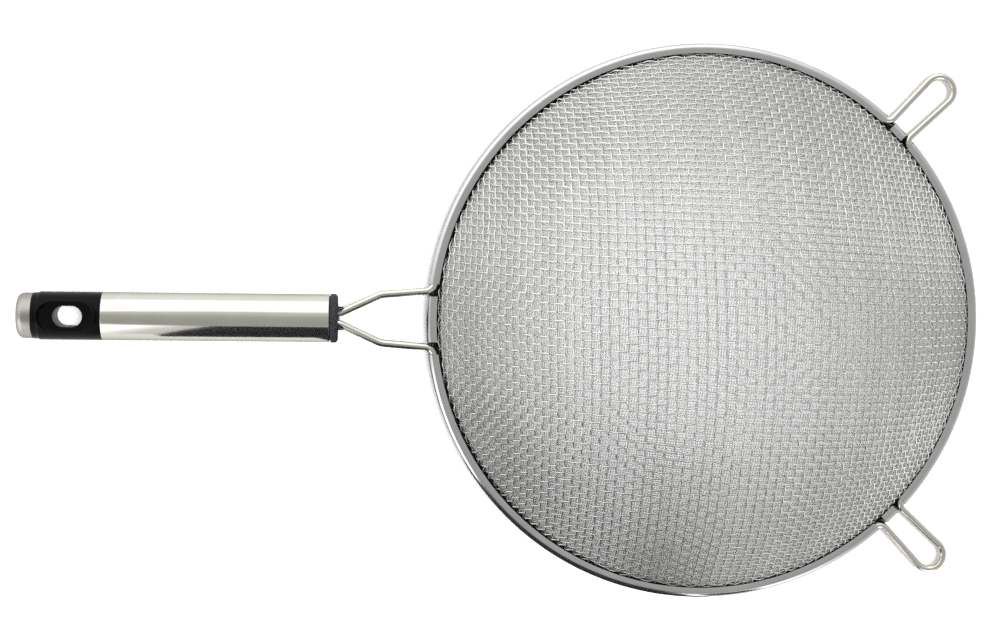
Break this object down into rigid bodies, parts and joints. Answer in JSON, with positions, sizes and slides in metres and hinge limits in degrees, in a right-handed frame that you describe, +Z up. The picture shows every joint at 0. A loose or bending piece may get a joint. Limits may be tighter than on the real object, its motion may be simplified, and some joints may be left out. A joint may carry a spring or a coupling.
{
  "type": "double mesh strainer",
  "caption": "Wire strainer with a fine and a coarse mesh dome in one rolled rim, a forked wire frame, rest hooks and a steel tube handle with a hanging hole.",
  "frame": {"origin": "On the dome's axis, in the plane of the ring wire, at the middle of the bowl's mouth", "axes": "+Z up through the crown of the dome, as the strainer lies in the picture (dome up); the handle lies along -X and the hooks on the +X side; Y completes the frame"},
  "size_m": [0.4475, 0.26, 0.0999],
  "materials": {
    "tube_steel": "satin, fine lines along the tube",
    "black_plastic": "black, satin outside and glossy in the oval",
    "cap_steel": "satin, warm grey",
    "collar_plastic": "black, worn, with pale specks",
    "frame_steel": "bright drawn wire",
    "rim_steel": "satin rolled strip",
    "coarse_cloth": "woven 0.7 mm wire",
    "fine_cloth": "woven 0.35 mm wire"
  },
  "bodies": {
    "root": {"handle_tube": "tube_steel", "hanger_sleeve": "black_plastic", "end_cap": "cap_steel", "front_collar": "collar_plastic", "frame_wire": "frame_steel", "rim_channel": "rim_steel", "coarse_mesh": "coarse_cloth", "fine_mesh": "fine_cloth"}
  },
  "joints": []
}
